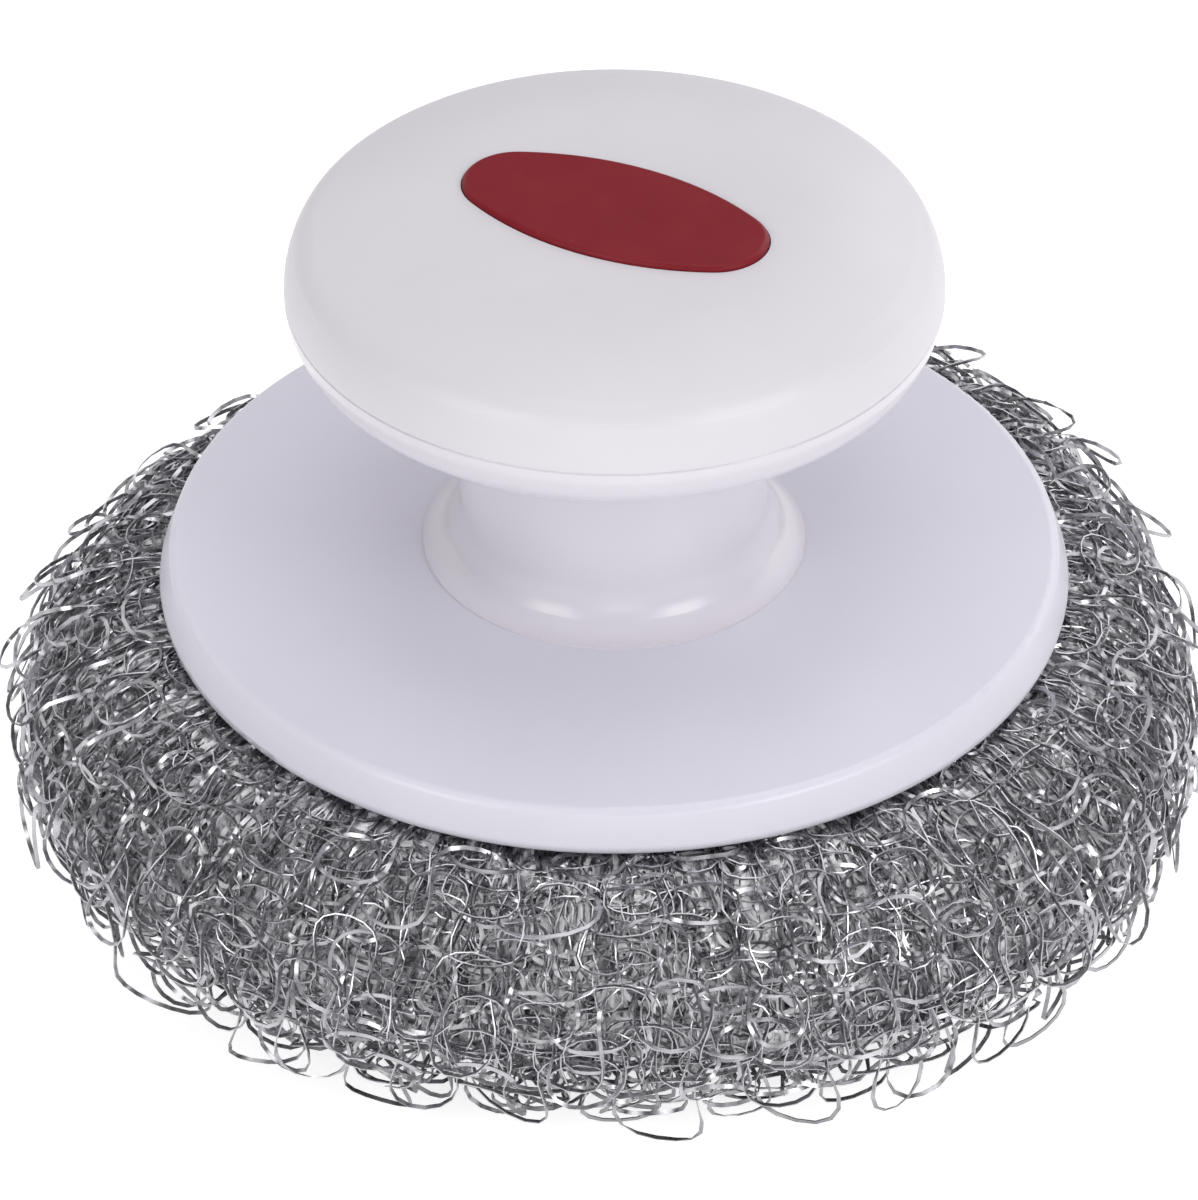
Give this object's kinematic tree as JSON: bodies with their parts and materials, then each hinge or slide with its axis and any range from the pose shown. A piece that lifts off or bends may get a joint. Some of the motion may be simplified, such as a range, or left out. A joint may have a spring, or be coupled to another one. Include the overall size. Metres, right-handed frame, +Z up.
{
  "type": "pot scrubber",
  "caption": "Palm pot scrubber: mushroom knob with an oval inlay, short neck and round guard over a springy ring pad of knitted flat wire.",
  "frame": {"origin": "centre of the face that the wire pad rests on", "axes": "+Z up along the knob's axis, -Y towards the picture's viewer"},
  "size_m": [0.1057, 0.1047, 0.0654],
  "materials": {
    "white_plastic": "satin moulded",
    "red_plastic": "satin moulded",
    "galvanised_wire": "galvanised flat wire",
    "screw_steel": "zinc plated"
  },
  "bodies": {
    "pad": {"scourer_sleeve": "galvanised_wire", "scourer_core": "galvanised_wire"},
    "handle": {"grip_inlay": "red_plastic", "knob_cap": "white_plastic", "knob_base": "white_plastic", "guard_flange": "white_plastic", "pad_retainer": "white_plastic", "centre_screw": "screw_steel"}
  },
  "joints": [
    {"name": "pad_squash", "type": "slide", "parent": "pad", "child": "handle", "axis": [0, 0, -1], "range_m": [0, 0.006], "stiffness_N_per_m": 3000, "deforming": ["scourer_sleeve", "scourer_core"]}
  ]
}
